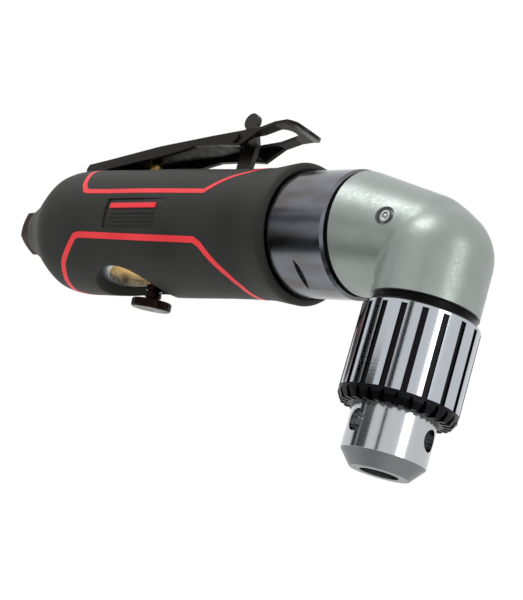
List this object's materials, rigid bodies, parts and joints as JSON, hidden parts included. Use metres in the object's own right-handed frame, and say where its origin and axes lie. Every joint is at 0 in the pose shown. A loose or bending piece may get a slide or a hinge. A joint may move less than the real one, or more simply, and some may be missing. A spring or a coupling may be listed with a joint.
{
  "type": "pneumatic right-angle drill",
  "caption": "Air-driven right-angle drill: rubber-covered barrel grip, throttle lever with lock-off, reverse knob, angle head and keyed three-jaw chuck.",
  "frame": {"origin": "centre of the chuck's mouth, on the spindle axis", "axes": "-Z out of the chuck's mouth, -X along the handle out of the air inlet, +Z towards the throttle lever"},
  "size_m": [0.209, 0.0448, 0.1137],
  "materials": {
    "grip_rubber": "matte",
    "badge_rubber": "matte",
    "red_trim": "satin",
    "aluminium": "machined",
    "cast_head": "satin painted",
    "black_steel": "polished black oxide",
    "inlet_steel": "black oxide",
    "lever_paint": "gloss",
    "lock_steel": "satin",
    "chuck_steel": "polished",
    "brass": "turned",
    "bright_steel": "ground",
    "motor_iron": "ground",
    "bronze_bush": "plain",
    "core_aluminium": "machined",
    "vane_composite": "plain",
    "seal_rubber": "matte"
  },
  "bodies": {
    "tool": {"motor_housing": "aluminium", "grip_cover": "grip_rubber", "badge_plate": "badge_rubber", "badge_bar": "red_trim", "exhaust_ring": "inlet_steel", "inlet_bushing": "inlet_steel", "inlet_screen": "inlet_steel", "valve_body": "core_aluminium", "throttle_bushing": "brass", "throttle_spring": "bright_steel", "motor_cylinder": "motor_iron", "rear_end_plate": "motor_iron", "front_end_plate": "motor_iron", "rear_rotor_bearing": "bright_steel", "front_rotor_bearing": "bright_steel", "ring_gear": "bright_steel", "carrier_bearing": "bright_steel", "coupling_nut": "black_steel", "coupling_ring": "black_steel", "angle_head": "cast_head", "grease_fitting": "bright_steel", "pinion_front_bearing": "bright_steel", "pinion_rear_bearing": "bright_steel", "pinion_spacer": "bright_steel", "spindle_top_bush": "bronze_bush", "spindle_bearing": "bright_steel", "bearing_retainer": "black_steel", "lever_pin": "lever_paint"},
    "rotor": {"rotor": "bright_steel", "rotor_vanes": "vane_composite"},
    "drive": {"planet_carrier": "bright_steel", "planet_pins": "bright_steel", "bevel_pinion": "bright_steel"},
    "planet_1": {"planet_gear_1": "bright_steel"},
    "planet_2": {"planet_gear_2": "bright_steel"},
    "planet_3": {"planet_gear_3": "bright_steel"},
    "spindle": {"spindle": "bright_steel", "bevel_gear": "bright_steel", "chuck_body": "chuck_steel", "chuck_screw": "bright_steel"},
    "chuck_sleeve": {"chuck_sleeve": "chuck_steel", "chuck_nut": "bright_steel"},
    "jaw_1": {"chuck_jaw_1": "bright_steel"},
    "jaw_2": {"chuck_jaw_2": "bright_steel"},
    "jaw_3": {"chuck_jaw_3": "bright_steel"},
    "lever": {"throttle_lever": "lever_paint", "lock_off_pin": "lever_paint", "lock_off_spring": "bright_steel"},
    "lock_off": {"lock_off_lever": "lock_steel"},
    "plunger": {"valve_plunger": "brass", "throttle_seal": "seal_rubber"},
    "reverse": {"reverse_valve": "brass", "reverse_screw": "black_steel"}
  },
  "joints": [
    {"name": "spindle_spin", "type": "hinge", "parent": "tool", "child": "spindle", "pos_m": [0, 0, 0.03], "axis": [0, 0, 1], "continuous": true},
    {"name": "drive_spin", "type": "hinge", "parent": "tool", "child": "drive", "pos_m": [-0.03, 0, 0.07], "axis": [1, 0, 0], "continuous": true},
    {"name": "rotor_spin", "type": "hinge", "parent": "tool", "child": "rotor", "pos_m": [-0.085, 0, 0.07], "axis": [1, 0, 0], "continuous": true},
    {"name": "planet_spin_1", "type": "hinge", "parent": "drive", "child": "planet_1", "pos_m": [-0.0488, 0, 0.079], "axis": [1, 0, 0], "continuous": true},
    {"name": "planet_spin_2", "type": "hinge", "parent": "drive", "child": "planet_2", "pos_m": [-0.0488, -0.00779, 0.0655], "axis": [1, 0, 0], "continuous": true},
    {"name": "planet_spin_3", "type": "hinge", "parent": "drive", "child": "planet_3", "pos_m": [-0.0488, 0.00779, 0.0655], "axis": [1, 0, 0], "continuous": true},
    {"name": "chuck_turn", "type": "hinge", "parent": "spindle", "child": "chuck_sleeve", "pos_m": [0, 0, 0.03], "axis": [0, 0, 1], "range_deg": [0, 2300]},
    {"name": "jaw_slide_1", "type": "slide", "parent": "spindle", "child": "jaw_1", "axis": [-0.1798, 0.1862, -0.9659], "range_m": [0, 0.016]},
    {"name": "jaw_slide_2", "type": "slide", "parent": "spindle", "child": "jaw_2", "axis": [-0.0713, -0.2488, -0.9659], "range_m": [0, 0.016]},
    {"name": "jaw_slide_3", "type": "slide", "parent": "spindle", "child": "jaw_3", "axis": [0.2511, 0.0626, -0.9659], "range_m": [0, 0.016]},
    {"name": "lever_press", "type": "hinge", "parent": "tool", "child": "lever", "pos_m": [-0.16, 0, 0.0909], "axis": [0, 1, 0], "range_deg": [0, 4.8], "stiffness_Nm_per_rad": 3, "springref_deg": -5.73},
    {"name": "plunger_slide", "type": "slide", "parent": "tool", "child": "plunger", "axis": [0, 0, -1], "range_m": [0, 0.0021], "deforming": ["throttle_spring"]},
    {"name": "lock_off_turn", "type": "hinge", "parent": "lever", "child": "lock_off", "pos_m": [-0.091, 0, 0.1015], "axis": [0, 1, 0], "range_deg": [0, 75]},
    {"name": "reverse_turn", "type": "hinge", "parent": "tool", "child": "reverse", "pos_m": [-0.119, 0, 0.07], "axis": [1, 0, 0], "range_deg": [-28, 12]}
  ],
  "couplings": [
    {"joint": "drive_spin", "follows": "spindle_spin", "ratio": -1.5},
    {"joint": "rotor_spin", "follows": "spindle_spin", "ratio": -7.5},
    {"joint": "planet_spin_1", "follows": "spindle_spin", "ratio": 4},
    {"joint": "planet_spin_2", "follows": "spindle_spin", "ratio": 4},
    {"joint": "planet_spin_3", "follows": "spindle_spin", "ratio": 4},
    {"joint": "jaw_slide_1", "follows": "chuck_turn", "m_per_rad": 0.000398},
    {"joint": "jaw_slide_2", "follows": "chuck_turn", "m_per_rad": 0.000398},
    {"joint": "jaw_slide_3", "follows": "chuck_turn", "m_per_rad": 0.000398},
    {"joint": "plunger_slide", "follows": "lever_press", "m_per_rad": 0.0237},
    {"joint": "lock_off_turn", "follows": "lever_press", "ratio": 15}
  ]
}
